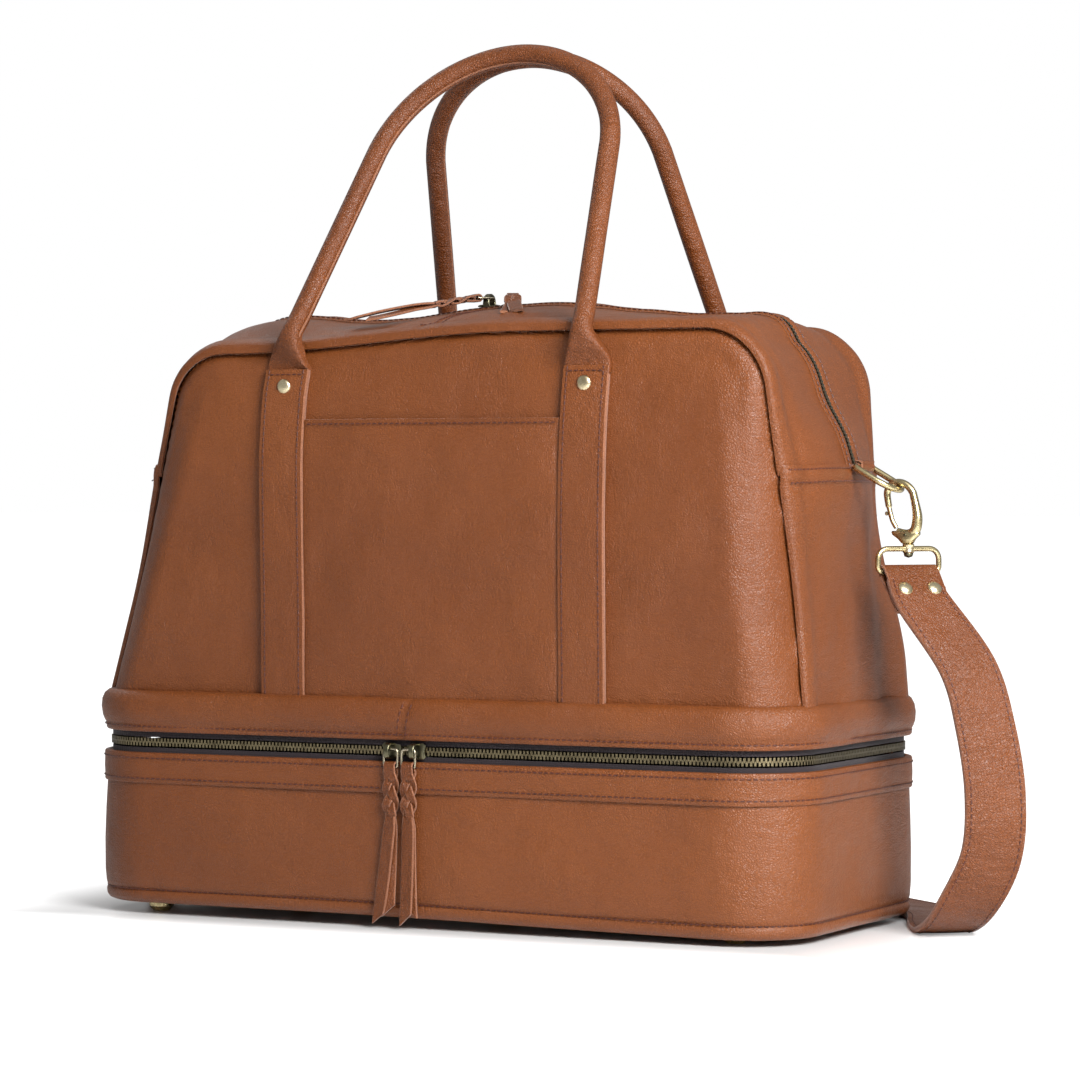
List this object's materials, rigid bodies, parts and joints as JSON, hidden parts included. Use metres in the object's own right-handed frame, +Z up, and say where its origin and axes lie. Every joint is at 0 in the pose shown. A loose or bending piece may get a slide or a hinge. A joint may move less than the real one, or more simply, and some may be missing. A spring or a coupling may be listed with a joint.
{
  "type": "weekender bag",
  "caption": "Leather weekender bag with a zipped shoe compartment in its base, rolled handles, front pocket and clip-on shoulder strap.",
  "frame": {"origin": "centre of the underside of the middle foot, on the floor below the middle of the bag", "axes": "X along the width, +Y towards the back, +Z up; the side with the pocket faces -Y"},
  "size_m": [0.6721, 0.3141, 0.557],
  "materials": {
    "leather": "smooth full-grain leather, soft sheen",
    "lining": "plain woven cotton",
    "board": "stiff board",
    "rope_core": "twisted cotton rope",
    "zip_tape": "woven tape",
    "zip_teeth": "antique brass",
    "slider_metal": "antique brass, darkened",
    "ring_wire": "antique brass wire",
    "hardware_brass": "antique brass, brushed and darkened in the recesses",
    "rivet_brass": "antique brass, worn bright"
  },
  "bodies": {
    "base": {"base_floor": "leather", "base_wall": "leather", "base_board": "board", "base_lining": "lining", "feet": "rivet_brass", "zip_strip": "leather", "low_tape_base": "zip_tape", "low_teeth_base": "zip_teeth"},
    "upper": {"upper_band": "leather", "divider_board": "board", "front_panel": "leather", "back_panel": "leather", "side_panel_left": "leather", "side_panel_right": "leather", "gusset_front": "leather", "gusset_back": "leather", "main_lining": "lining", "low_tape_upper": "zip_tape", "low_teeth_upper": "zip_teeth", "top_tape_front": "zip_tape", "top_tape_back": "zip_tape", "top_teeth_front": "zip_teeth", "top_teeth_back": "zip_teeth", "front_pocket": "leather", "strap_front_left": "leather", "strap_front_right": "leather", "strap_back_left": "leather", "strap_back_right": "leather", "handle_rivets": "rivet_brass", "tab_left": "leather", "tab_right": "leather"},
    "handle_front": {"handle_front_cover": "leather", "handle_front_core": "rope_core"},
    "handle_back": {"handle_back_cover": "leather", "handle_back_core": "rope_core"},
    "low_slider_left": {"low_slider_left": "slider_metal"},
    "low_slider_right": {"low_slider_right": "slider_metal"},
    "low_pull_left": {"low_ring_left": "ring_wire", "low_pull_left": "leather"},
    "low_pull_right": {"low_ring_right": "ring_wire", "low_pull_right": "leather"},
    "top_slider_left": {"top_slider_left": "slider_metal"},
    "top_slider_right": {"top_slider_right": "slider_metal"},
    "top_pull_left": {"top_ring_left": "ring_wire", "top_pull_left": "leather"},
    "top_pull_right": {"top_ring_right": "ring_wire", "top_pull_right": "leather"},
    "d_ring_left": {"d_ring_left": "hardware_brass"},
    "d_ring_right": {"d_ring_right": "hardware_brass"},
    "shoulder_strap": {"shoulder_strap": "leather", "strap_ring_left": "hardware_brass", "strap_ring_right": "hardware_brass", "strap_rivets": "rivet_brass"},
    "hook_left": {"hook_left": "hardware_brass"},
    "hook_right": {"hook_right": "hardware_brass"},
    "gate_left": {"gate_left": "hardware_brass"},
    "gate_right": {"gate_right": "hardware_brass"}
  },
  "joints": [
    {"name": "compartment_tilt", "type": "hinge", "parent": "base", "child": "upper", "pos_m": [0, 0.116, 0.11], "axis": [-1, 0, 0], "range_deg": [0, 40]},
    {"name": "handle_front_swing", "type": "hinge", "parent": "upper", "child": "handle_front", "pos_m": [0.006, -0.116, 0.352], "axis": [1, 0, 0], "range_deg": [0, 125]},
    {"name": "handle_back_swing", "type": "hinge", "parent": "upper", "child": "handle_back", "pos_m": [0.006, 0.116, 0.352], "axis": [-1, 0, 0], "range_deg": [0, 125]},
    {"name": "low_slider_left_slide", "type": "slide", "parent": "base", "child": "low_slider_left", "axis": [-1, 0, 0], "range_m": [0, 0.16]},
    {"name": "low_slider_right_slide", "type": "slide", "parent": "base", "child": "low_slider_right", "axis": [1, 0, 0], "range_m": [0, 0.18]},
    {"name": "low_pull_left_lift", "type": "hinge", "parent": "low_slider_left", "child": "low_pull_left", "pos_m": [-0.019, -0.119, 0.11], "axis": [-1, 0, 0], "range_deg": [0, 120]},
    {"name": "low_pull_right_lift", "type": "hinge", "parent": "low_slider_right", "child": "low_pull_right", "pos_m": [-0.0014, -0.119, 0.11], "axis": [-1, 0, 0], "range_deg": [0, 120]},
    {"name": "top_slider_left_slide", "type": "slide", "parent": "upper", "child": "top_slider_left", "axis": [-1, 0, 0], "range_m": [0, 0.125]},
    {"name": "top_slider_right_slide", "type": "slide", "parent": "upper", "child": "top_slider_right", "axis": [1, 0, 0], "range_m": [0, 0.145]},
    {"name": "top_pull_left_lift", "type": "hinge", "parent": "top_slider_left", "child": "top_pull_left", "pos_m": [-0.01, 0, 0.3954], "axis": [-0.7986, 0.6018, 0], "range_deg": [0, 100]},
    {"name": "top_pull_right_lift", "type": "hinge", "parent": "top_slider_right", "child": "top_pull_right", "pos_m": [0.007, 0, 0.3954], "axis": [-0.891, -0.454, 0], "range_deg": [0, 100]},
    {"name": "d_ring_left_swing", "type": "hinge", "parent": "upper", "child": "d_ring_left", "pos_m": [-0.22175, 0, 0.286], "axis": [0, -1, 0], "range_deg": [0, 4]},
    {"name": "d_ring_right_swing", "type": "hinge", "parent": "upper", "child": "d_ring_right", "pos_m": [0.24975, 0, 0.286], "axis": [0, 1, 0], "range_deg": [0, 4]},
    {"name": "strap_hang", "type": "hinge", "parent": "upper", "child": "shoulder_strap", "pos_m": [0, 0, 0.2765], "axis": [1, 0, 0], "range_deg": [0, 40]},
    {"name": "hook_left_swivel", "type": "hinge", "parent": "shoulder_strap", "child": "hook_left", "pos_m": [-0.246, 0, 0.24], "axis": [0, 0, 1], "range_deg": [-12, 12]},
    {"name": "hook_right_swivel", "type": "hinge", "parent": "shoulder_strap", "child": "hook_right", "pos_m": [0.274, 0, 0.24], "axis": [0, 0, 1], "range_deg": [-12, 12]},
    {"name": "gate_left_press", "type": "hinge", "parent": "hook_left", "child": "gate_left", "pos_m": [-0.2385, 0, 0.246], "axis": [0, -1, 0], "range_deg": [0, 22], "stiffness_Nm_per_rad": 0.02, "springref_deg": -11.46},
    {"name": "gate_right_press", "type": "hinge", "parent": "hook_right", "child": "gate_right", "pos_m": [0.2665, 0, 0.246], "axis": [0, 1, 0], "range_deg": [0, 22], "stiffness_Nm_per_rad": 0.02, "springref_deg": -11.46}
  ],
  "couplings": [
    {"joint": "strap_hang", "follows": "compartment_tilt", "ratio": 1}
  ]
}
